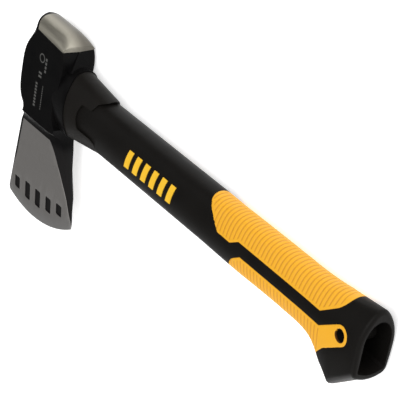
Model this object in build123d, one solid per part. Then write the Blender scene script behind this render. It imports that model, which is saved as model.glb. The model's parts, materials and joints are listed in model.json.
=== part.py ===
from build123d import *
import math
import os

# One-hand camping hatchet, lying on its side.
# Working frame while modelling: X runs from the head to the butt along the handle's axis,
# Y points to the poll, Z is the thickness, with Z = 0 on the tool's mid-plane.
# At the end everything moves so that the origin is the bottom centre of the bounding box.
# Lengths are in millimetres.

# ---- driving dimensions: head ----
CHEEK_HALF = 11.3           # half thickness of the eye block and poll
CHEEK_END_Y = -23.5         # where the flat cheek ends towards the blade
BLADE_TOP_Y = -31.5         # where the ground blade flat starts
BLADE_TOP_HALF = 6.8        # half thickness of the blade there
EDGE_HALF = 0.12            # half thickness left at the cutting edge
EDGE_RADIUS = 85.0          # curvature of the cutting edge
EDGE_CENTRE = (18.0, -9.9)  # centre of that curve
DRAFT_HALF = 12.0           # the forging's sides lean back by the next two lengths at this height
FRONT_DRAFT = 2.5
REAR_DRAFT = 1.1

POLL_BACK_X = 45.4          # end of the poll cap on the butt side
POLL_BASE_Y = 31.1          # where the cheeks turn into the crown
POLL_CROWN = (              # x and height of the crown above its base, from the head side
    (4.0, 9.4),
    (20.0, 9.6),
    (31.0, 9.2),
    (39.0, 7.6),
    (46.0, 2.6),
)
OVER_TOP_Y = 48.0           # safely above the crown
BEARD = (                   # y, where the ground flat ends: x and half thickness, beard: x and half
    (-20.0, 47.4, 13.0, 70.0, 12.5),
    (-27.0, 33.0, 9.0, 46.2, 4.7),
    (-31.5, 36.0, 6.8, 47.8, 4.1),
    (-45.1, 47.1, 5.2, 52.3, 2.6),
    (-54.0, 52.7, 4.0, 55.3, 1.8),
    (-63.5, 57.4, 2.7, 58.6, 1.3),
    (-80.0, 62.5, 0.5, 63.6, 0.3),
    (-97.0, 64.0, 0.3, 70.0, 0.3),
)
BEARD_TOE_X = -20.0         # the falling sides are cut from here, safely past the toe
BEARD_PAST = 1.5            # and run on past the beard by this much
BEARD_THIN_HALF = 0.15      # least half thickness there

EYE_HALF_Y = 17.0           # eye hole, half height and half width
EYE_HALF_Z = 8.0
LIP_X = 55.0                # end plane of the socket lip
LIP_HALF_Y = 23.2
LIP_HALF_Z = 12.9
LIP_ROOT_X = 30.0           # where the socket starts inside the eye block

SLOT_WIDTH = 6.2
SLOT_DEPTH = 0.6
SLOT_CORNER = 1.0
SLOTS = (                   # centre x, centre y, height of the five blind slots
    (0.1, -80.4, 8.5),
    (13.1, -80.0, 12.0),
    (25.4, -79.4, 12.0),
    (37.9, -77.5, 10.5),
    (50.1, -74.8, 8.0),
)

# ---- driving dimensions: handle ----
GRIP_HALF = 11.3            # half thickness of the handle
BUTT_X = 339.0              # end plane of the butt
CORE_HALF_Y = 12.6          # fibre core, half height and half width
CORE_HALF_Z = 6.6
CORE_WALL = 2.4
CORE_END_X = 298.0
EYE_START_X = 5.0           # where the potted eye starts, behind the cap
EYE_FRONT_X = -2.0          # safely in front of the eye's open end
CAP_THICKNESS = 2.6
SPIGOT_LENGTH = 8.0         # how far the cap reaches into the core
PLUG_LENGTH = 12.0

INLAY_DEPTH = 1.6           # thickness of the soft inlays
LANYARD_X = 323.5
LANYARD_RADIUS = 3.7
LANYARD_WALL = 1.2          # wall round the hole where it crosses the hollow butt
TAB_RADIUS = 6.1            # rounded end of the inlay around the lanyard hole
TAB_ANGLE = 33.5            # lean of the tab's edges

POCKET_HALF = 9.1           # mouth of the hollow butt
POCKET_BOTTOM_Y = -15.2
POCKET_SAG = 1.6            # how far the bottom bows down in the middle
POCKET_SIDE_Y = 2.0         # where the straight sides turn into the arch
POCKET_TOP_Y = 14.6
POCKET_DEPTH = 33.0
POCKET_CORNER = 2.0
POCKET_NARROWING = 0.84     # size of the pocket's floor, as a share of its mouth
RIM_ROUND = 2.4

COLLAR_END_X = 89.5
BADGE_START_X = 121.0
BADGE_BARS = 6
BADGE_PITCH = 8.6
BADGE_BAR_WIDTH = 4.6
BADGE_HALF_Y = 6.0
BADGE_SLANT = 3.4
BADGE_PROUD = 0.35

FAR = 60.0                  # longer than any half size of the section
END_ROUND = 0.75             # end radius of a plain oval, as a share of its half thickness

# Handle outline: x, reach to the back, reach to the belly, half thickness,
# corner radius on the back and on the belly, turn of each half of the side on the back and
# on the belly in degrees
GRIP_STATIONS = (
    (LIP_X, 16.1, 16.9, GRIP_HALF, 9.0, 8.0, 24, 22),
    (195.0, 16.2, 17.0, GRIP_HALF, 9.0, 8.0, 24, 22),
    (216.0, 15.8, 17.4, GRIP_HALF, 9.0, 8.0, 24, 22),
    (232.0, 16.0, 17.6, GRIP_HALF, 9.0, 8.0, 24, 22),
    (255.0, 16.1, 17.1, GRIP_HALF, 9.0, 8.0, 24, 22),
    (270.0, 16.0, 17.1, GRIP_HALF, 9.0, 8.0, 24, 22),
)
FLARE_STATIONS = (
    (270.0, 16.0, 17.1, GRIP_HALF, 9.0, 8.0, 24, 22),
    (277.0, 16.0, 17.2, GRIP_HALF, 9.0, 7.9, 24, 21),
    (284.0, 16.0, 17.3, 11.35, 9.0, 7.8, 25, 20),
    (290.0, 16.2, 17.7, 11.4, 8.8, 7.6, 26, 19),
    (296.0, 16.5, 18.8, 11.5, 8.5, 7.4, 28, 17),
    (304.5, 17.3, 24.2, 11.75, 8.0, 7.0, 32, 15),
    (311.5, 18.1, 30.5, 11.9, 8.0, 6.6, 35, 13),
)
BUTT_STATIONS = (
    (311.5, 18.1, 30.5, 11.9, 8.0, 6.6, 35, 13),
    (317.5, 18.8, 35.3, 12.1, 7.7, 6.2, 38, 12),
    (BUTT_X - RIM_ROUND, 21.1, 20.4, 12.5, 7.2, 5.6, 44, 6),
)
RIM_STEPS = 3               # stations along the rounded rim of the butt
END_TURN = math.radians(24)     # how far a half of the back or belly turns


def plane_across(x, y=0.0):
    """Plane across the handle at x, with its own first axis along Y and its second along Z."""
    return Plane(origin=(x, y, 0), x_dir=(0, 1, 0), z_dir=(1, 0, 0))


def half_section(x, reach, wide, corner, side_degrees, toward):
    """Arcs of one half of the handle's section: side, corner, end, corner, side."""
    side_turn = math.radians(side_degrees)
    a = math.sin(side_turn)
    b = 1 - math.cos(END_TURN)
    c = 1 - math.cos(side_turn)
    d = math.sin(END_TURN)
    scale_by = a * d - b * c
    side = corner + (d * (reach - corner) - b * (wide - corner)) / scale_by
    end = corner + (a * (wide - corner) - c * (reach - corner)) / scale_by
    middle = (END_TURN + math.pi / 2 - side_turn) / 2
    corner_y = reach - end + (end - corner) * math.cos(END_TURN)
    corner_z = (end - corner) * math.sin(END_TURN)

    def side_point(angle):
        return side * math.sin(angle), wide - side + side * math.cos(angle)

    end_point = (reach - end + end * math.cos(END_TURN), end * math.sin(END_TURN))
    corner_point = (corner_y + corner * math.cos(middle), corner_z + corner * math.sin(middle))
    trail = [
        (0, wide), side_point(side_turn / 2), side_point(side_turn), corner_point, end_point, (reach, 0),
    ]
    trail += [(y, -z) for y, z in reversed(trail[:-1])]
    points = [Vector(x, toward * y, z) for y, z in trail]
    return [ThreePointArc(*points[i:i + 3]) for i in range(0, len(points) - 2, 2)]


def handle_section(station, shrink=0.0, x=None):
    """Closed section of the handle at a station, smaller all round by shrink, or moved to x."""
    place, back, belly, half, back_corner, belly_corner, back_turn, belly_turn = station
    place = x or place
    wide = half - shrink
    back_arcs = half_section(place, back - shrink, wide, back_corner - shrink, back_turn, 1)
    belly_arcs = half_section(place, belly - shrink, wide, belly_corner - shrink, belly_turn, -1)
    return make_face(Wire(back_arcs + belly_arcs))


def oval_section(x, tall, wide, end):
    """Closed oval across the handle at x: two tight end arcs and two flatter side arcs."""
    side = ((tall - end) ** 2 + wide ** 2 - end ** 2) / (2 * (wide - end))
    y = (tall - end) * side / (side - end)
    z = end * (side - wide) / (side - end)
    arcs = (
        ThreePointArc((x, y, -z), (x, tall, 0), (x, y, z))
        + ThreePointArc((x, y, z), (x, 0, wide), (x, -y, z))
        + ThreePointArc((x, -y, z), (x, -tall, 0), (x, -y, -z))
        + ThreePointArc((x, -y, -z), (x, 0, -wide), (x, y, -z))
    )
    return make_face(arcs)


def handle_body(shrink=0.0):
    """Outer form of the handle, or the same form made smaller all round by shrink."""
    grip = loft([handle_section(station, shrink) for station in GRIP_STATIONS], ruled=True)
    flare = loft([handle_section(station, shrink) for station in FLARE_STATIONS])
    butt = loft([handle_section(station, shrink) for station in BUTT_STATIONS], ruled=True)
    rim = []
    for step in range(RIM_STEPS + 1):
        angle = math.radians(90 * step / RIM_STEPS)
        pull = RIM_ROUND * (1 - math.cos(angle))
        x = BUTT_X - RIM_ROUND * (1 - math.sin(angle))
        rim.append(handle_section(BUTT_STATIONS[-1], shrink + pull, x))
    return grip + flare + butt + loft(rim)


def oval_tube(x0, x1, half_y, half_z, end_y=None, end_z=None):
    """Solid oval bar from x0 to x1, tapering when end sizes are given."""
    last_y = end_y or half_y
    last_z = end_z or half_z
    first = oval_section(x0, half_y, half_z, half_z * END_ROUND)
    last = oval_section(x1, last_y, last_z, last_z * END_ROUND)
    return loft([first, last], ruled=True)


def side_prism(outline, half=FAR):
    """Solid that a closed side-view outline sweeps through the thickness."""
    return extrude(make_face(outline), amount=half, both=True)


def head_outline(z, front_draft, rear_draft):
    """Side view of the forging at height z, without the socket."""
    def at(x, y):
        shift = front_draft if x < 20 else -rear_draft
        return (x + shift, y, z)

    front = Spline(
        at(7.2, OVER_TOP_Y), at(7.3, 40.4), at(8.4, 37.2), at(9.6, 34.2), at(7.5, 28.4),
        at(3.0, 21.2), at(0.9, 14.9), at(0.2, 5.0), at(0.3, -3.0), at(1.9, -12.1), at(5.0, -16.6),
    )
    notch = Spline(at(5.0, -16.6), at(7.2, -20.6), at(4.2, -27.9), at(1.2, -35.0))
    toe = Line(at(1.2, -35.0), at(-9.9, -86.5))
    toe_corner = ThreePointArc(at(-9.9, -86.5), at(-9.5, -89.9), at(-6.3, -91.7))
    below = Polyline(at(-6.3, -91.7), at(2.0, -100.0), at(63.7, -100.0), at(63.7, -80.5))
    beard = Spline(
        at(63.7, -80.5), at(62.1, -73.2), at(58.7, -63.3), at(55.1, -53.2), at(51.8, -43.1),
        at(48.7, -33.1),
    )
    root = Spline(at(48.7, -33.1), at(46.4, -27.0), at(46.4, -23.0), at(47.4, -20.0))
    neck = Spline(at(47.4, -20.0), at(47.4, 21.8), at(46.6, 27.0), at(44.6, 31.2))
    top = Polyline(
        at(44.6, 31.2), at(POLL_BACK_X, 31.2), at(POLL_BACK_X, OVER_TOP_Y), at(7.2, OVER_TOP_Y))
    return make_face(front + notch + toe + toe_corner + below + beard + root + neck + top)


def blade_wedge():
    """Ground blade: flat faces from the blade's top down to the curved cutting edge."""
    sections = []
    for x in (-16.0, 6.0, 26.0, 46.0, 70.0):
        drop = math.sqrt(EDGE_RADIUS ** 2 - (x - EDGE_CENTRE[0]) ** 2)
        edge_y = EDGE_CENTRE[1] - drop
        section = Polyline(
            (x, BLADE_TOP_Y, BLADE_TOP_HALF), (x, edge_y, EDGE_HALF),
            (x, edge_y, -EDGE_HALF), (x, BLADE_TOP_Y, -BLADE_TOP_HALF), close=True,
        )
        sections.append(make_face(section))
    return loft(sections)


def rear_taper():
    """Room for the blade, whose sides fall away from the end of the ground flat to the beard."""
    sections = []
    for y, flat_x, flat_half, beard_x, beard_half in BEARD:
        slope = (flat_half - beard_half) / (beard_x - flat_x)
        front_x = BEARD_TOE_X
        front_half = flat_half + slope * (flat_x - front_x)
        rear_x = beard_x + BEARD_PAST
        rear_half = max(beard_half - slope * BEARD_PAST, BEARD_THIN_HALF)
        section = Polyline(
            (front_x, y, front_half), (rear_x, y, rear_half),
            (rear_x, y, -rear_half), (front_x, y, -front_half), close=True,
        )
        sections.append(make_face(section))
    return loft(sections, ruled=True)


def thickness_prism():
    """Thickness of the forging above the blade: flat cheeks, then a hollow shoulder."""
    knee_y = CHEEK_END_Y - 3.2
    knee_half = CHEEK_HALF - 2.9
    cheeks = Polyline(
        (0, CHEEK_END_Y, -CHEEK_HALF), (0, POLL_BASE_Y, -CHEEK_HALF),
        (0, POLL_BASE_Y, CHEEK_HALF), (0, CHEEK_END_Y, CHEEK_HALF),
    )
    near = ThreePointArc(
        (0, CHEEK_END_Y, CHEEK_HALF), (0, knee_y, knee_half), (0, BLADE_TOP_Y, BLADE_TOP_HALF))
    bottom = Line((0, BLADE_TOP_Y, BLADE_TOP_HALF), (0, BLADE_TOP_Y, -BLADE_TOP_HALF))
    far = ThreePointArc(
        (0, BLADE_TOP_Y, -BLADE_TOP_HALF), (0, knee_y, -knee_half), (0, CHEEK_END_Y, -CHEEK_HALF))
    return extrude(make_face(cheeks + near + bottom + far), amount=2 * FAR, both=True)


def poll_crown():
    """Struck face of the poll: half an oval across the head, rising and falling along it."""
    sections = []
    for x, rise in POLL_CROWN:
        crown = EllipticalCenterArc((0, 0), rise, CHEEK_HALF, start_angle=-90, arc_size=180)
        base = Line((0, CHEEK_HALF), (0, -CHEEK_HALF))
        sections.append(plane_across(x, POLL_BASE_Y) * make_face(crown + base))
    return loft(sections)


def gusset():
    """Raised triangle on the neck's butt side, from the poll cap down to the socket lip."""
    depth = 9.0
    face = make_face(Polyline((45.2, 31.5, 0), (51.0, 20.0, 8.0), (51.0, 20.0, -8.0), close=True))
    return extrude(face, amount=depth, dir=(-1, 0, 0))


def axe_head():
    """One steel forging, with the eye and the blind slots cut."""
    blank = loft([
        head_outline(-DRAFT_HALF, FRONT_DRAFT, REAR_DRAFT),
        head_outline(0, 0, 0),
        head_outline(DRAFT_HALF, FRONT_DRAFT, REAR_DRAFT),
    ], ruled=True)
    blade_room = rear_taper() + Pos(0, FAR + BEARD[0][0], 0) * Box(4 * FAR, 2 * FAR, FAR)
    head = blank & (thickness_prism() + blade_wedge() + poll_crown()) & blade_room
    socket = oval_tube(LIP_ROOT_X, LIP_X, 21.0, 10.4, LIP_HALF_Y, LIP_HALF_Z)
    head = head + socket + gusset()
    head = head - oval_tube(EYE_FRONT_X, LIP_X + 1, EYE_HALF_Y, EYE_HALF_Z)
    slope = math.degrees(math.atan(BLADE_TOP_HALF / (EDGE_RADIUS - EDGE_CENTRE[1] + BLADE_TOP_Y)))
    for x, y, height in SLOTS:
        edge_y = EDGE_CENTRE[1] - math.sqrt(EDGE_RADIUS ** 2 - (x - EDGE_CENTRE[0]) ** 2)
        surface = BLADE_TOP_HALF * (y - edge_y) / (BLADE_TOP_Y - edge_y)
        for side in (1, -1):
            cutter = extrude(RectangleRounded(SLOT_WIDTH, height, SLOT_CORNER), amount=8)
            bottom = max(surface - SLOT_DEPTH, 0.35)
            if side == 1:
                head = head - Pos(x, y, bottom) * Rot(slope, 0, 0) * cutter
            else:
                head = head - Pos(x, y, -bottom) * Rot(180 - slope, 0, 0) * cutter
    return head


def eye_bond():
    """Epoxy cast between the eye's wall and the core."""
    fill = oval_tube(EYE_START_X, LIP_X, EYE_HALF_Y, EYE_HALF_Z)
    return fill - oval_tube(EYE_START_X - 1, LIP_X + 1, CORE_HALF_Y, CORE_HALF_Z)


def eye_cap():
    """Moulded cap that closes the eye and the core on the side away from the handle."""
    plate = oval_tube(EYE_START_X - CAP_THICKNESS, EYE_START_X, EYE_HALF_Y, EYE_HALF_Z)
    inner_y = CORE_HALF_Y - CORE_WALL
    inner_z = CORE_HALF_Z - CORE_WALL
    spigot = oval_tube(EYE_START_X, EYE_START_X + SPIGOT_LENGTH, inner_y, inner_z)
    return plate + spigot


def core_tube():
    """Hollow oval fibre-composite core."""
    outer = oval_tube(EYE_START_X, CORE_END_X, CORE_HALF_Y, CORE_HALF_Z)
    bore = oval_tube(EYE_START_X - 1, CORE_END_X + 1, CORE_HALF_Y - CORE_WALL, CORE_HALF_Z - CORE_WALL)
    return outer - bore


def core_end_plug():
    """Plug pressed into the butt end of the core."""
    return oval_tube(
        CORE_END_X - PLUG_LENGTH, CORE_END_X, CORE_HALF_Y - CORE_WALL, CORE_HALF_Z - CORE_WALL)


def overstrike_collar(handle):
    """Guard below the head: a sleeve with a long tongue on the back and one on the belly."""
    sleeve = loft([
        oval_section(LIP_X, 22.4, 12.5, 9.2),
        oval_section(COLLAR_END_X, 17.3, 12.2, 9.2),
    ], ruled=True)
    back_tongue = Polyline(
        (LIP_X - 1, FAR), (COLLAR_END_X - 2.2, FAR), (COLLAR_END_X - 2.2, 17.0), (82.6, 14.6),
        (80.3, 9.6), (71.0, 9.4),
    )
    notch_bottom = ThreePointArc((71.0, 9.4), (68.2, 1.5), (70.0, -6.8))
    belly_tongue = Polyline(
        (70.0, -6.8), (84.6, -6.9), (87.4, -8.8), (COLLAR_END_X, -17.0), (COLLAR_END_X, -FAR),
        (LIP_X - 1, -FAR), (LIP_X - 1, FAR),
    )
    return (sleeve & side_prism(back_tongue + notch_bottom + belly_tongue)) - handle


def back_inlay_outline():
    """Side view of the soft inlay on the handle's back."""
    nose = Spline((196.6, 24.0), (197.4, 16.6), (203.2, 9.9), (208.6, 5.4), (213.9, 0.4))
    step = Polyline((213.9, 0.4), (225.6, 0.2), (232.2, 4.2), (305.0, 3.8), (316.0, 11.4))
    tail = Spline((316.0, 11.4), (319.2, 15.6), (321.0, 24.0))
    return nose + step + tail + Polyline((321.0, 24.0), (321.0, FAR), (196.6, FAR), (196.6, 24.0))


def belly_inlay_outline():
    """Side view of the soft inlay on the belly, with its tab around the lanyard hole."""
    turn = math.radians(TAB_ANGLE)
    rise = Vector(-math.sin(turn), math.cos(turn)) * TAB_RADIUS
    centre = Vector(LANYARD_X, 0)
    tip = centre + Vector(math.cos(turn), math.sin(turn)) * TAB_RADIUS
    nose = Spline((221.0, -24.0), (223.6, -16.2), (226.4, -10.6), (229.6, -7.0))
    edge = Polyline((229.6, -7.0), (235.7, -3.0), (306.6, -3.6), centre + rise)
    tab = ThreePointArc(centre + rise, tip, centre - rise)
    back = Polyline(centre - rise, (312.4, -14.6))
    tail = Spline((312.4, -14.6), (308.6, -18.8), (303.6, -25.4), (300.0, -34.0))
    outside = Polyline((300.0, -34.0), (300.0, -FAR), (221.0, -FAR), (221.0, -24.0))
    return nose + edge + tab + back + tail + outside


def soft_inlay(outline, handle, inner):
    """Skin of the handle inside a side-view outline, with the lanyard hole cut."""
    return (handle - inner) & side_prism(outline) - lanyard_hole()


def lanyard_hole():
    return Pos(LANYARD_X, 0, 0) * Cylinder(LANYARD_RADIUS, 2 * FAR)


def butt_pocket():
    """Arched hollow that opens at the butt's end plane and narrows inwards."""
    low = POCKET_BOTTOM_Y
    wide = POCKET_HALF
    corner = POCKET_CORNER
    arch = EllipticalCenterArc(
        (POCKET_SIDE_Y, 0), POCKET_TOP_Y - POCKET_SIDE_Y, wide, start_angle=-90, arc_size=180)
    mouth = (
        ThreePointArc((low, -wide + corner), (low - POCKET_SAG, 0), (low, wide - corner))
        + RadiusArc((low, wide - corner), (low + corner, wide), corner)
        + Line((low + corner, wide), (POCKET_SIDE_Y, wide))
        + arch
        + Line((POCKET_SIDE_Y, -wide), (low + corner, -wide))
        + RadiusArc((low + corner, -wide), (low, -wide + corner), corner)
    )
    outline = make_face(mouth)
    floor = plane_across(BUTT_X - POCKET_DEPTH) * scale(outline, by=POCKET_NARROWING)
    return loft([floor, plane_across(BUTT_X) * outline], ruled=True)


def badge(side, shell):
    """Slanted bars in the maker's place, standing a little proud of one side of the handle."""
    bars = []
    for index in range(BADGE_BARS):
        left = BADGE_START_X + index * BADGE_PITCH
        right = left + BADGE_BAR_WIDTH
        outline = Polyline(
            (left, -BADGE_HALF_Y), (right, -BADGE_HALF_Y), (right + BADGE_SLANT, BADGE_HALF_Y),
            (left + BADGE_SLANT, BADGE_HALF_Y), close=True)
        bar = shell & extrude(make_face(outline), amount=side * FAR)
        bars.append(bar.solid())
    return Compound(children=bars)


def handle_jacket(handle, inner):
    """Overmoulded shell of the handle, with room for the core and the inlays."""
    jacket = handle
    for outline in (back_inlay_outline(), belly_inlay_outline()):
        jacket = jacket - (side_prism(outline) - inner)
    core_space = oval_tube(LIP_X - 1, CORE_END_X, CORE_HALF_Y, CORE_HALF_Z)
    hole_wall = Pos(LANYARD_X, 0, 0) * Cylinder(LANYARD_RADIUS + LANYARD_WALL, 2 * FAR)
    return jacket - core_space - (butt_pocket() - hole_wall) - lanyard_hole()


def build():
    """All sub-parts in the working frame, by node name."""
    handle = handle_body()
    inner = handle_body(INLAY_DEPTH)
    badge_shell = handle_body(-BADGE_PROUD) - handle
    return {
        "axe_head": axe_head(),
        "eye_bond": eye_bond(),
        "eye_cap": eye_cap(),
        "core_tube": core_tube(),
        "core_end_plug": core_end_plug(),
        "overstrike_collar": overstrike_collar(handle),
        "handle_jacket": handle_jacket(handle, inner),
        "grip_back_inlay": soft_inlay(back_inlay_outline(), handle, inner),
        "grip_belly_inlay": soft_inlay(belly_inlay_outline(), handle, inner),
        "badge_left": badge(1, badge_shell),
        "badge_right": badge(-1, badge_shell),
    }


def main():
    parts = build()
    boxes = [shape.bounding_box() for shape in parts.values()]
    middle_x = (min(box.min.X for box in boxes) + max(box.max.X for box in boxes)) / 2
    middle_y = (min(box.min.Y for box in boxes) + max(box.max.Y for box in boxes)) / 2
    bottom_z = min(box.min.Z for box in boxes)
    print("row origin in the working frame:", middle_x, middle_y, bottom_z)
    os.makedirs("parts", exist_ok=True)
    for name, shape in parts.items():
        export_step(Pos(-middle_x, -middle_y, -bottom_z) * shape, f"parts/{name}.step")


if __name__ == "__main__":
    main()
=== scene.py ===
"""Looks of the camping hatchet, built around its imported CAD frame."""
import json
import math

import bpy
import numpy as np
from mathutils import Matrix, Vector
from mathutils.bvhtree import BVHTree


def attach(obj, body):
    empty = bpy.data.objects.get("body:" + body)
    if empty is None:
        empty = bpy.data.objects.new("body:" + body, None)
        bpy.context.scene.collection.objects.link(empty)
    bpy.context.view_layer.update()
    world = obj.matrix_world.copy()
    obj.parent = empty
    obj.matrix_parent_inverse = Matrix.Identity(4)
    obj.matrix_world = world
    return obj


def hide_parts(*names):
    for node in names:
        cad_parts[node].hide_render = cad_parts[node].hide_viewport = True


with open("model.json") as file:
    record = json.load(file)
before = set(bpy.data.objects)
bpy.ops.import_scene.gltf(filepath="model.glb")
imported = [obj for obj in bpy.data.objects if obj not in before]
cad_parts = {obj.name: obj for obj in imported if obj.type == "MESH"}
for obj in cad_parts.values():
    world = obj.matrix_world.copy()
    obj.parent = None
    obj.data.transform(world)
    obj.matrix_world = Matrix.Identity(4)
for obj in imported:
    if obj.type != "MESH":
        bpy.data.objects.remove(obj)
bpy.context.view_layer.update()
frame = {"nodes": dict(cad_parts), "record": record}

# Places on the hatchet are given in millimetres: x along the handle from the head to the butt,
# y towards the poll, z through the thickness. y and z are 0 on the handle's axis.
MM = 0.001
LANYARD_X = 323.5
MOUNTS = {mount["name"]: mount for mount in frame["record"]["mounts"]}
LANYARD = Vector(MOUNTS["lanyard_hole"]["pos_m"])


def at(x, y, z=0.0):
    """Row-frame point, in metres, of a place on the hatchet in millimetres."""
    return LANYARD + Vector((x - LANYARD_X, y, z)) * MM


# ---- meshes, mm ----
WELD_GAP = 0.001
ROUND_HEAD = 0.5                # width of the rounds along sharp edges
ROUND_MOULDED = 0.3
ROUND_SEGMENTS = 3
ROUND_ANGLE = 32                # degrees

# ---- materials ----
NOISE_SPAN = (0.3, 0.7)         # most of a noise lies between these
BLACK_WARMTH = 0.12

# ---- ribs of the soft inlays, mm ----
RIB_PITCH = 3.03
VOXEL = RIB_PITCH / 8           # so that every rib is sampled alike
RIB_BORDER = 1.9                # smooth border round the ribs
GROOVE_WIDTH = 1.5
GROOVE_DEPTH = 0.32
RIM_WIDTH = 0.7                 # rounding of the inlays' rim
RIM_DROP = 0.35
BACK_RIBS = (200.5, 316.0)      # first groove, end of the ribbed stretch
BELLY_RIBS = (224.7, 307.5)
RIB_FADE = (-0.5, 0.3)          # the grooves fade out this far either side of the border
OUTSIDE_FACING = 0.25           # a face looks outwards when its normal does by this cosine
UPRIGHT = 1e-3                  # a face is upright when its normal's z is below this
CREST_HALF = 2.0                # upright faces this close to the mid-plane are on the crest
CREST_LEAN = 0.8                # unless their normal turns more than this along the handle

# ---- blade, mm, as on the forging ----
EDGE_RADIUS = 85.0              # curve of the cutting edge, centred on the next place
EDGE_CENTRE = (18.0, -9.9)
BLADE_TOP_Y = -31.5
BLADE_TOP_HALF = 6.8

# ---- where the ground steel shows, mm; pairs say where a change starts and where it is full ----
POLL_LINE_Y = 34.97             # height of the poll's lower line at x = 0
POLL_LINE_SLOPE = -0.087        # and its rise per mm towards the butt
POLL_LINE_BLUR = (-0.1, 0.15)
POLL_NOSE_X = (9.8, 10.4)       # where the grinding starts at the mid-plane
POLL_NOSE_CURVE = 0.00031       # it starts further back by this times the depth's fourth power
WAIST_BACK = 1.3                # and by this on the waist below the nose
WAIST_Y = (37.0, 35.5)
WAIST_DEPTH = (10.0, 8.5)
TOE_X = 8.75                    # the toe's line at y = 0
TOE_SLOPE = 0.2157              # and its x per mm of y
TOE_DRAFT = 0.2083              # lean of the toe's side, x per mm of depth
TOE_BLUR = (0.3, 0.6)
TOE_STRIP = 1.5                 # painted strip left along the upper toe
TOE_STRIP_Y = (-72.0, -58.0)
FLAT_TOP = (-31.4, -31.7)
FLAT_DEPTH = (-0.22, -0.12)     # depth against the blade's ground plane
POLISH = (12.0, 1.0)            # height over the cutting edge
FAR_SIDE_SHADE_Z = (9.0, -4.0)        # painted shade: the ground steel is painted darker towards the far side
LOW_PAINT_Y = (-30.0, -37.0)    # the paint is paler down the beard

# ---- plain marks in place of the printing on one cheek, mm ----
MARK_RING = (23.4, 18.4, 2.6, 0.7)      # x, y, radius, width
MARK_ROWS = (                           # x, width, start and end in y, pitch, share filled
    (28.3, 1.8, 10.6, 20.2, 2.6, 0.7),
    (23.4, 3.4, 5.4, 10.0, 2.4, 0.62),
    (20.9, 2.2, -14.9, 1.8, 2.1, 0.7),
    (28.1, 0.8, -14.2, 1.6, 1.5, 0.72),
)
MARK_BLUR = 0.1
MARK_Z = (10.5, 10.9)
MARK_STRENGTH = 0.45

# ---- view ----
VIEW_RIGHT = Vector((0.5657, 0.1638, -0.8082))
VIEW_BACK = Vector((0.6831, 0.4560, 0.5705))
VIEW_AIM = at(165.35, -9.15, -13.27)
VIEW_DISTANCE = 1.1138
VIEW_LENS = 175.6
SENSOR = 36.0
CLIP_START = 0.05

# ---- light ----
WORLD_STRENGTH = 0.85
DIM_SIDES = (                   # direction, cosines where it starts and is full, share left
    ((-0.68, -0.46, 0.57), 0.75, 0.95, 0.14),
    ((-0.68, 0.72, 0.05), 0.55, 0.95, 0.15),
)
FLOOR_GLOW = 0.60
FLOOR_HALF = 6.0                # metres
KEY_LIGHT = ((0.6, 0.9, 1.6), 1.2, 16)          # place and size in metres, power in watts
FILL_LIGHT = ((-0.1, -1.3, 0.6), 1.0, 6)


# ---------------------------------------------------------------- materials

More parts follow.
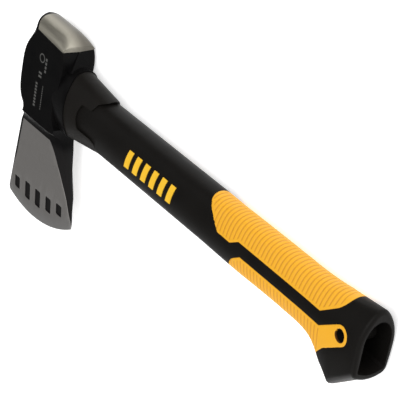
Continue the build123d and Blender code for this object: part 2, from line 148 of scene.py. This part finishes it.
class Shade:
    """Adds shader nodes to one new material in short calls. Places are in millimetres."""

    def __init__(self, name):
        self.material = bpy.data.materials.new(name)
        self.material.use_nodes = True
        self.tree = self.material.node_tree
        self.shader = self.tree.nodes["Principled BSDF"]
        coordinates = self.tree.nodes.new("ShaderNodeTexCoord")
        place = self.tree.nodes.new("ShaderNodeVectorMath")
        place.operation = "SUBTRACT"
        self.link(coordinates.outputs["Object"], place.inputs[0])
        place.inputs[1].default_value = at(0, 0)
        split = self.tree.nodes.new("ShaderNodeSeparateXYZ")
        scaled = self.tree.nodes.new("ShaderNodeVectorMath")
        scaled.operation = "SCALE"
        scaled.inputs["Scale"].default_value = 1 / MM
        self.link(place.outputs[0], scaled.inputs[0])
        self.link(scaled.outputs[0], split.inputs[0])
        self.mm = scaled.outputs[0]
        self.x, self.y, self.z = split.outputs

    def link(self, source, target):
        if hasattr(source, "is_output"):
            self.tree.links.new(source, target)
        else:
            target.default_value = source

    def set(self, **values):
        """Values on the shader's own sockets, with underscores for spaces."""
        for name, value in values.items():
            self.link(value, self.shader.inputs[name.replace("_", " ")])

    def math(self, operation, a, b=0.0, clamp=False):
        node = self.tree.nodes.new("ShaderNodeMath")
        node.operation = operation
        node.use_clamp = clamp
        self.link(a, node.inputs[0])
        self.link(b, node.inputs[1])
        return node.outputs[0]

    def all_of(self, *masks):
        result = masks[0]
        for mask in masks[1:]:
            result = self.math("MULTIPLY", result, mask)
        return result

    def step(self, value, start, end):
        """0 at start and before it, 1 at end and after it, smooth in between."""
        node = self.tree.nodes.new("ShaderNodeMapRange")
        node.interpolation_type = "SMOOTHSTEP"
        self.link(value, node.inputs["Value"])
        node.inputs["From Min"].default_value = start
        node.inputs["From Max"].default_value = end
        return node.outputs["Result"]

    def remap(self, value, low, high, start=0.0, end=1.0):
        node = self.tree.nodes.new("ShaderNodeMapRange")
        self.link(value, node.inputs["Value"])
        node.inputs["From Min"].default_value = start
        node.inputs["From Max"].default_value = end
        node.inputs["To Min"].default_value = low
        node.inputs["To Max"].default_value = high
        return node.outputs["Result"]

    def noise(self, size, detail=3.0, stretch=(1, 1, 1)):
        """Noise with features of that size in mm, longer along the axes with a stretch over 1."""
        scaled = self.tree.nodes.new("ShaderNodeVectorMath")
        scaled.operation = "MULTIPLY"
        self.link(self.mm, scaled.inputs[0])
        scaled.inputs[1].default_value = [1 / (size * s) for s in stretch]
        node = self.tree.nodes.new("ShaderNodeTexNoise")
        node.inputs["Scale"].default_value = 1.0
        node.inputs["Detail"].default_value = detail
        self.link(scaled.outputs[0], node.inputs["Vector"])
        return node.outputs["Fac"]

    def mix(self, factor, a, b):
        node = self.tree.nodes.new("ShaderNodeMix")
        node.data_type = "RGBA"
        self.link(factor, node.inputs["Factor"])
        self.link(a, node.inputs[6])
        self.link(b, node.inputs[7])
        return node.outputs[2]

    def attribute(self, name):
        node = self.tree.nodes.new("ShaderNodeAttribute")
        node.attribute_name = name
        return node.outputs["Fac"]

    def bump(self, height, depth, strength=1.0):
        """Bump whose full height is depth mm."""
        node = self.tree.nodes.new("ShaderNodeBump")
        node.inputs["Strength"].default_value = strength
        node.inputs["Distance"].default_value = depth * MM
        self.link(height, node.inputs["Height"])
        self.link(node.outputs["Normal"], self.shader.inputs["Normal"])


def grey(value, warm=0.0):
    """Opaque grey, a little warmer or cooler."""
    return (value * (1 + warm), value, value * (1 - warm), 1)


def ring_mask(s, x, y, radius, width):
    """Ring on the side view."""
    across = s.math("SUBTRACT", s.x, x)
    up = s.math("SUBTRACT", s.y, y)
    square = s.math("ADD", s.math("MULTIPLY", across, across), s.math("MULTIPLY", up, up))
    off = s.math("ABSOLUTE", s.math("SUBTRACT", s.math("SQRT", square), radius))
    return s.step(off, width / 2 + MARK_BLUR, width / 2 - MARK_BLUR)


def dash_mask(s, x, width, start, end, pitch, fill):
    """Row of dashes up the side view, from start to end in y."""
    off = s.math("ABSOLUTE", s.math("SUBTRACT", s.x, x))
    inside = s.step(off, width / 2 + MARK_BLUR, width / 2 - MARK_BLUR)
    span = s.all_of(s.step(s.y, start, start + MARK_BLUR), s.step(s.y, end, end - MARK_BLUR))
    phase = s.math("FRACT", s.math("DIVIDE", s.math("SUBTRACT", s.y, start), pitch))
    return s.all_of(inside, span, s.step(phase, fill, fill - MARK_BLUR))


def poll_mask(s, depth):
    """Ground poll: above a line that falls a little towards the butt, and behind its nose."""
    line = s.math("ADD", s.math("MULTIPLY", s.x, POLL_LINE_SLOPE), POLL_LINE_Y)
    above = s.step(s.math("SUBTRACT", s.y, line), *POLL_LINE_BLUR)
    curve = s.math("MULTIPLY", s.math("POWER", depth, 4.0), POLL_NOSE_CURVE)
    nose = s.math("SUBTRACT", s.x, curve)
    waist = s.all_of(s.step(s.y, *WAIST_Y), s.step(depth, *WAIST_DEPTH), WAIST_BACK)
    return s.all_of(above, s.step(s.math("SUBTRACT", nose, waist), *POLL_NOSE_X))


def height_over_edge(s):
    """Height over the curved cutting edge, and the height of the edge itself."""
    off_centre = s.math("SUBTRACT", s.x, EDGE_CENTRE[0])
    square = s.math("MULTIPLY", off_centre, off_centre)
    drop = s.math("SQRT", s.math("SUBTRACT", EDGE_RADIUS ** 2, square))
    edge_y = s.math("SUBTRACT", EDGE_CENTRE[1], drop)
    return s.math("SUBTRACT", s.y, edge_y), edge_y


def flat_mask(s, depth, height, edge_y):
    """Ground blade flats, over their whole width but for a narrow strip along the upper toe."""
    toe_line = s.math("ADD", s.math("MULTIPLY", s.y, TOE_SLOPE), TOE_X)
    draft = s.math("MULTIPLY", depth, TOE_DRAFT)
    toe = s.math("SUBTRACT", s.x, s.math("ADD", toe_line, draft))
    strip = s.math("MULTIPLY", s.step(s.y, *TOE_STRIP_Y), TOE_STRIP)
    toe = s.math("SUBTRACT", toe, strip)
    tall = s.math("SUBTRACT", BLADE_TOP_Y, edge_y)
    surface = s.math("MULTIPLY", s.math("DIVIDE", height, tall), BLADE_TOP_HALF)
    on_flat = s.step(s.math("SUBTRACT", depth, surface), *FLAT_DEPTH)
    return s.all_of(s.step(s.y, *FLAT_TOP), s.step(toe, *TOE_BLUR), on_flat)


def marks_mask(s):
    """Plain marks that stand in for the printing on one cheek."""
    marks = ring_mask(s, *MARK_RING)
    for row in MARK_ROWS:
        marks = s.math("MAXIMUM", marks, dash_mask(s, *row))
    return s.all_of(marks, s.step(s.z, *MARK_Z))


def head_material():
    """Black paint, with ground steel on the poll and on the blade's flats, and painted shade that
    darkens the poll's steel towards the far side.
    """
    s = Shade("forged_head")
    depth = s.math("ABSOLUTE", s.z)
    poll = poll_mask(s, depth)
    height, edge_y = height_over_edge(s)
    flat = flat_mask(s, depth, height, edge_y)
    edge = s.step(height, *POLISH)
    brushed = s.noise(0.35, 2.0, (40, 1, 1))
    streaks = s.noise(2.5, 2.0, (30, 1, 1))
    scratches = s.noise(0.5, 4.0, (1, 60, 1))
    ground = s.mix(brushed, (0.30, 0.28, 0.23, 1), (0.43, 0.405, 0.34, 1))
    ground = s.mix(streaks, ground, (0.50, 0.475, 0.40, 1))
    # painted shade: the poll's ground steel is painted darker towards the far side
    ground = s.mix(s.step(s.z, *FAR_SIDE_SHADE_Z), ground, (0.14, 0.13, 0.11, 1))
    honed = s.mix(scratches, (0.20, 0.19, 0.18, 1), (0.25, 0.24, 0.23, 1))
    bevel = s.mix(edge, honed, (0.235, 0.23, 0.225, 1))
    paint = s.noise(0.6, 3.0)
    patches = s.noise(9.0, 2.0)
    black = s.mix(patches, (0.0020, 0.0020, 0.0022, 1), (0.0045, 0.0042, 0.0042, 1))
    black = s.mix(s.step(s.y, *LOW_PAINT_Y), black, (0.0105, 0.0100, 0.0100, 1))
    printed = s.math("MULTIPLY", marks_mask(s), MARK_STRENGTH)
    paint_colour = s.mix(printed, black, (0.20, 0.20, 0.19, 1))
    paint_rough = s.remap(patches, 0.34, 0.46, *NOISE_SPAN)
    metal = s.math("MAXIMUM", poll, s.math("MULTIPLY", flat, 0.55), clamp=True)
    steel = s.math("MAXIMUM", poll, flat, clamp=True)
    s.set(
        Base_Color=s.mix(flat, s.mix(poll, paint_colour, ground), bevel),
        Metallic=metal,
        Roughness=s.mix(steel, paint_rough, s.remap(brushed, 0.34, 0.46, *NOISE_SPAN)),
        Specular_IOR_Level=s.remap(steel, 0.05, 0.5),
    )
    s.bump(s.mix(steel, paint, s.mix(poll, scratches, brushed)), 0.02, 0.5)
    return s.material


def moulded_black(name, low, high, gloss):
    """Matte moulded black with a fine grain."""
    s = Shade(name)
    patches = s.noise(14.0, 2.0)
    grain = s.noise(0.35, 2.0)
    s.set(
        Base_Color=s.mix(patches, grey(low, BLACK_WARMTH), grey(high, BLACK_WARMTH)),
        Roughness=s.remap(patches, gloss, gloss + 0.08, *NOISE_SPAN),
        Specular_IOR_Level=0.07,
    )
    s.bump(grain, 0.02, 0.5)
    return s.material


def inlay_material():
    """Yellow soft rubber, with painted shade in the grooves between the ribs and a painted shadow
    along the seam.
    """
    s = Shade("yellow_rubber")
    groove = s.attribute("groove")
    patches = s.noise(11.0, 2.0)
    grain = s.noise(0.3, 2.0)
    light = s.mix(patches, (0.83, 0.402, 0.017, 1), (0.87, 0.425, 0.020, 1))
    # painted shade: the yellow is painted darker in the grooves between the ribs
    ribbed_with_groove_shade = s.mix(groove, light, (0.60, 0.25, 0.013, 1))
    # painted shadow: a dark line along the inlay's rim where it meets the black handle
    seam_shadow = s.step(s.attribute("rim"), 0.55, 0.85)
    s.set(
        Base_Color=s.mix(seam_shadow, ribbed_with_groove_shade, (0.10, 0.035, 0.004, 1)),
        Roughness=s.remap(patches, 0.50, 0.60, *NOISE_SPAN),
        Specular_IOR_Level=0.3,
    )
    s.bump(grain, 0.012, 0.5)
    return s.material


def badge_material():
    """Satin yellow plastic."""
    s = Shade("badge_yellow")
    patches = s.noise(4.0, 2.0)
    s.set(
        Base_Color=s.mix(patches, (0.88, 0.50, 0.020, 1), (0.95, 0.56, 0.028, 1)),
        Roughness=s.remap(patches, 0.38, 0.48, *NOISE_SPAN),
    )
    s.bump(s.noise(0.3, 2.0), 0.01, 0.4)
    return s.material


def composite_material(name, dark, light):
    """Dull composite with fibres along the handle."""
    s = Shade(name)
    fibres = s.noise(0.4, 4.0, (50, 1, 1))
    s.set(
        Base_Color=s.mix(fibres, dark, light),
        Roughness=s.remap(fibres, 0.5, 0.7, *NOISE_SPAN),
    )
    s.bump(fibres, 0.03, 0.5)
    return s.material


def floor_material():
    s = Shade("studio_floor")
    pale = s.mix(s.noise(60.0, 2.0), grey(0.90), grey(0.92))
    s.set(Base_Color=pale, Roughness=0.9, Emission_Color=pale, Emission_Strength=FLOOR_GLOW)
    return s.material


# ---------------------------------------------------------------- pieces

def paint(node, material):
    """Gives a CAD node its material."""
    mesh = frame["nodes"][node].data
    mesh.materials.clear()
    mesh.materials.append(material)


def soften_edges(node, width):
    """Small round along the sharp edges of a CAD node."""
    piece = frame["nodes"][node]
    weld = piece.modifiers.new("weld", "WELD")
    weld.merge_threshold = WELD_GAP * MM
    bevel = piece.modifiers.new("edge_round", "BEVEL")
    bevel.width = width * MM
    bevel.segments = ROUND_SEGMENTS
    bevel.limit_method = "ANGLE"
    bevel.angle_limit = math.radians(ROUND_ANGLE)
    bevel.use_clamp_overlap = True
    bevel.harden_normals = False


def remeshed(node, name, voxel):
    """Copy of a CAD node as an evenly meshed new piece."""
    piece = bpy.data.objects.new(name, frame["nodes"][node].data.copy())
    bpy.context.scene.collection.objects.link(piece)
    weld = piece.modifiers.new("weld", "WELD")
    weld.merge_threshold = WELD_GAP * MM
    remesh = piece.modifiers.new("even_mesh", "REMESH")
    remesh.mode = "VOXEL"
    remesh.voxel_size = voxel * MM
    remesh.use_smooth_shade = True
    evaluated = piece.evaluated_get(bpy.context.evaluated_depsgraph_get())
    mesh = bpy.data.meshes.new_from_object(evaluated)
    piece.modifiers.clear()
    piece.data = mesh
    return piece


def smooth_step(value, start, end):
    t = np.clip((value - start) / (end - start), 0, 1)
    return t * t * (3 - 2 * t)


def rim_walls(mesh):
    """Upright faces round an inlay's rim, without the upright facets along its crest."""
    middle = at(0, 0).z
    walls = []
    for face in mesh.polygons:
        near_middle = abs(face.center.z - middle) < CREST_HALF * MM
        on_crest = near_middle and abs(face.normal.x) < CREST_LEAN
        if abs(face.normal.z) < UPRIGHT and not on_crest:
            walls.append(face)
    return walls


def ribbed_inlay(node, name, ribs, material):
    """Soft inlay with ribs across the handle inside a smooth, rounded rim."""
    cad = frame["nodes"][node].data
    corners = [v.co.copy() for v in cad.vertices]
    skin = BVHTree.FromPolygons(corners, [tuple(p.vertices) for p in cad.polygons])
    walls = BVHTree.FromPolygons(corners, [tuple(p.vertices) for p in rim_walls(cad)])
    piece = remeshed(node, name, VOXEL)
    mesh = piece.data
    first, last = ribs
    moved = np.zeros((len(mesh.vertices), 3))
    grooves = np.zeros(len(mesh.vertices))
    rims = np.zeros(len(mesh.vertices))
    axis = at(0, 0)
    for index, vertex in enumerate(mesh.vertices):
        place, normal, _, _ = skin.find_nearest(vertex.co)
        gap = walls.find_nearest(place)[3] / MM
        outward = Vector((0, place.y - axis.y, place.z - axis.z)).normalized()
        outside = normal.dot(outward) > OUTSIDE_FACING
        rim = 1 - min(gap / RIM_WIDTH, 1)
        x = (place.x - axis.x) / MM
        groove = 0.0
        if outside and first - RIB_PITCH / 2 < x < last:
            phase = (x - first) / RIB_PITCH
            across = abs(phase - round(phase)) * RIB_PITCH
            shape = 0.5 + 0.5 * math.cos(math.pi * min(2 * across / GROOVE_WIDTH, 1))
            fade = [RIB_BORDER + margin for margin in RIB_FADE]
            groove = shape * float(smooth_step(gap, *fade))
        drop = GROOVE_DEPTH * groove + (RIM_DROP * rim * rim if outside else 0)
        moved[index] = place - normal * drop * MM
        grooves[index] = groove
        rims[index] = rim
    mesh.vertices.foreach_set("co", moved.ravel())
    for label, values in (("groove", grooves), ("rim", rims)):
        attribute = mesh.attributes.new(label, "FLOAT", "POINT")
        attribute.data.foreach_set("value", values)
    mesh.update()
    mesh.materials.clear()
    mesh.materials.append(material)
    for polygon in mesh.polygons:
        polygon.use_smooth = True
    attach(piece, "root")
    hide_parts(node)


# ---------------------------------------------------------------- stage

def make_floor():
    size = FLOOR_HALF
    corners = [(-size, -size, 0), (size, -size, 0), (size, size, 0), (-size, size, 0)]
    mesh = bpy.data.meshes.new("floor")
    mesh.from_pydata(corners, [], [(0, 1, 2, 3)])
    floor = bpy.data.objects.new("floor", mesh)
    bpy.context.scene.collection.objects.link(floor)
    mesh.materials.append(floor_material())


def make_light(name, place, size, power):
    """Soft square light at place, aimed at the row frame's origin."""
    data = bpy.data.lights.new(name, "AREA")
    data.shape = "SQUARE"
    data.size = size
    data.energy = power
    light = bpy.data.objects.new(name, data)
    bpy.context.scene.collection.objects.link(light)
    light.location = place
    light.rotation_mode = "QUATERNION"
    light.rotation_quaternion = (-Vector(place)).to_track_quat("-Z", "Y")


def make_camera():
    data = bpy.data.cameras.new("camera")
    data.lens = VIEW_LENS
    data.sensor_width = SENSOR
    data.clip_start = CLIP_START
    camera = bpy.data.objects.new("camera", data)
    bpy.context.scene.collection.objects.link(camera)
    back = VIEW_BACK.normalized()
    up = back.cross(VIEW_RIGHT).normalized()
    right = up.cross(back)
    turn = Matrix((right, up, back)).transposed()
    camera.matrix_world = Matrix.Translation(VIEW_AIM + back * VIEW_DISTANCE) @ turn.to_4x4()
    bpy.context.scene.camera = camera


def make_world():
    """White all round, dim over the parts of the studio that the flat sides and the back mirror."""
    world = bpy.data.worlds.new("studio")
    bpy.context.scene.world = world
    world.use_nodes = True
    tree = world.node_tree
    coordinates = tree.nodes.new("ShaderNodeTexCoord")
    strength = WORLD_STRENGTH
    for direction, start, end, share in DIM_SIDES:
        towards = tree.nodes.new("ShaderNodeVectorMath")
        towards.operation = "DOT_PRODUCT"
        tree.links.new(coordinates.outputs["Generated"], towards.inputs[0])
        towards.inputs[1].default_value = Vector(direction).normalized()
        fade = tree.nodes.new("ShaderNodeMapRange")
        fade.interpolation_type = "SMOOTHSTEP"
        tree.links.new(towards.outputs["Value"], fade.inputs["Value"])
        fade.inputs["From Min"].default_value = start
        fade.inputs["From Max"].default_value = end
        fade.inputs["To Min"].default_value = 1.0
        fade.inputs["To Max"].default_value = share
        product = tree.nodes.new("ShaderNodeMath")
        product.operation = "MULTIPLY"
        tree.links.new(fade.outputs["Result"], product.inputs[0])
        if isinstance(strength, float):
            product.inputs[1].default_value = strength
        else:
            tree.links.new(strength, product.inputs[1])
        strength = product.outputs[0]
    background = tree.nodes["Background"]
    background.inputs["Color"].default_value = (1, 1, 1, 1)
    tree.links.new(strength, background.inputs["Strength"])


def main():
    bpy.context.scene.view_settings.view_transform = "Standard"
    head = head_material()
    black = moulded_black("handle_black", 0.0045, 0.0075, 0.42)
    collar = moulded_black("collar_black", 0.0065, 0.0105, 0.40)
    cap = moulded_black("cap_black", 0.0060, 0.0100, 0.50)
    yellow = inlay_material()
    badge = badge_material()
    paint("axe_head", head)
    paint("handle_jacket", black)
    paint("overstrike_collar", collar)
    paint("eye_cap", cap)
    paint("core_end_plug", cap)
    epoxy = composite_material("cast_epoxy", (0.10, 0.08, 0.05, 1), (0.16, 0.13, 0.09, 1))
    fibre = composite_material("fibre_core", (0.03, 0.03, 0.03, 1), (0.07, 0.07, 0.06, 1))
    paint("eye_bond", epoxy)
    paint("core_tube", fibre)
    paint("badge_left", badge)
    paint("badge_right", badge)
    soften_edges("axe_head", ROUND_HEAD)
    soften_edges("handle_jacket", ROUND_MOULDED)
    soften_edges("overstrike_collar", ROUND_MOULDED)
    ribbed_inlay("grip_back_inlay", "back_grip", BACK_RIBS, yellow)
    ribbed_inlay("grip_belly_inlay", "belly_grip", BELLY_RIBS, yellow)
    make_floor()
    make_world()
    make_light("key", *KEY_LIGHT)
    make_light("fill", *FILL_LIGHT)
    make_camera()


main()
